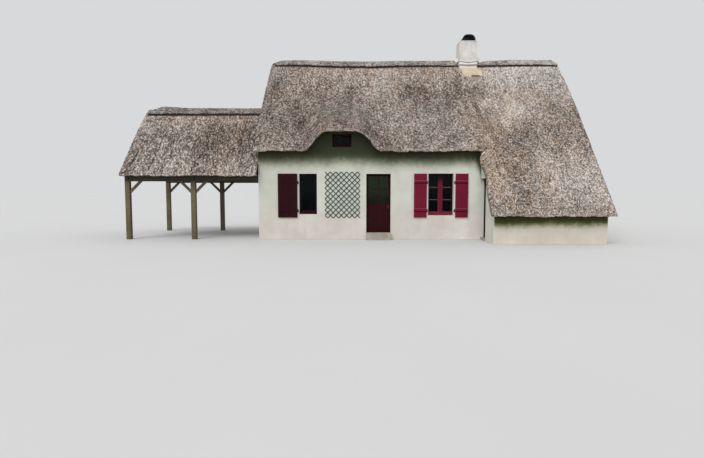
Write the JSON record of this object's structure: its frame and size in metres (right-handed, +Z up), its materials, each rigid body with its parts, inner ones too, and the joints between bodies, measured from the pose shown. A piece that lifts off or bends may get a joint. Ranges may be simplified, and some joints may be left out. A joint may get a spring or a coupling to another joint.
{
  "type": "thatched cottage",
  "caption": "Rendered cottage with a steep thatched roof, an eyebrow over a loft window, a catslide outshut, an open timber shelter wing, hinged doors and shutters.",
  "frame": {"origin": "middle of the whole building at the lowest ground level", "axes": "+X to the right along the front, +Y from the front to the back, +Z up"},
  "size_m": [17.1365, 8.64, 8.273],
  "materials": {
    "lime_render": "lime washed render, weathered",
    "thatch": "weathered reed thatch",
    "ridge_thatch": "weathered straw ridge",
    "joinery": "burgundy paint, satin",
    "shutter_paint": "burgundy paint, matt",
    "window_glass": "clear glass",
    "trellis_paint": "green paint",
    "raw_timber": "weathered raw timber",
    "flagstone": "worn stone",
    "floor_board": "plain boards",
    "mortar": "cream mortar",
    "dark_metal": "blackened sheet"
  },
  "bodies": {
    "house": {"front_wall_left": "lime_render", "front_wall_over_door": "lime_render", "front_wall_right": "lime_render", "rear_wall": "lime_render", "left_gable_wall": "lime_render", "right_gable_wall": "lime_render", "outshut_front_wall": "lime_render", "outshut_side_wall": "lime_render", "outshut_wall_over_door": "lime_render", "ground_floor": "flagstone", "loft_floor": "floor_board", "front_doorstep": "flagstone", "outshut_floor": "flagstone", "front_door_frame": "joinery", "side_door_frame": "joinery", "window_1_frame": "joinery", "window_1_glass": "window_glass", "window_2_frame": "joinery", "window_2_glass": "window_glass", "loft_window_frame": "joinery", "loft_window_glass": "window_glass", "rear_window_left_frame": "joinery", "rear_window_left_glass": "window_glass", "rear_window_right_frame": "joinery", "rear_window_right_glass": "window_glass", "wall_trellis": "trellis_paint", "thatch_front": "thatch", "thatch_catslide": "thatch", "thatch_rear": "thatch", "ridge_cap_left": "ridge_thatch", "ridge_cap_right": "ridge_thatch", "chimney_stack": "lime_render", "chimney_apron": "mortar", "chimney_cowl": "dark_metal", "shelter_thatch_front": "thatch", "shelter_thatch_rear": "thatch", "shelter_ridge_cap": "ridge_thatch", "shelter_post_front_left": "raw_timber", "shelter_post_front_middle": "raw_timber", "shelter_post_rear_left": "raw_timber", "shelter_post_rear_middle": "raw_timber", "shelter_plate_front": "raw_timber", "shelter_plate_rear": "raw_timber", "shelter_roof_frame": "raw_timber"},
    "front_door_leaf": {"front_door": "joinery", "front_door_glass": "window_glass"},
    "side_door_leaf": {"side_door": "joinery"},
    "shutter_1_leaf": {"shutter_window_1": "shutter_paint"},
    "shutter_2_left_leaf": {"shutter_window_2_left": "shutter_paint"},
    "shutter_2_right_leaf": {"shutter_window_2_right": "shutter_paint"}
  },
  "joints": [
    {"name": "front_door_hinge", "type": "hinge", "parent": "house", "child": "front_door_leaf", "pos_m": [0.4155, -1.881, 1.3], "axis": [0, 0, 1], "range_deg": [0, 90]},
    {"name": "side_door_hinge", "type": "hinge", "parent": "house", "child": "side_door_leaf", "pos_m": [4.824, -2.1335, 1.1], "axis": [0, 0, 1], "range_deg": [0, 90]},
    {"name": "shutter_1_hinge", "type": "hinge", "parent": "house", "child": "shutter_1_leaf", "pos_m": [-2.135, -2.1475, 1.6], "axis": [0, 0, 1], "range_deg": [0, 180]},
    {"name": "shutter_2_left_hinge", "type": "hinge", "parent": "house", "child": "shutter_2_left_leaf", "pos_m": [2.635, -2.1475, 1.6], "axis": [0, 0, 1], "range_deg": [0, 180]},
    {"name": "shutter_2_right_hinge", "type": "hinge", "parent": "house", "child": "shutter_2_right_leaf", "pos_m": [3.64, -2.1475, 1.6], "axis": [0, 0, -1], "range_deg": [0, 180]}
  ]
}
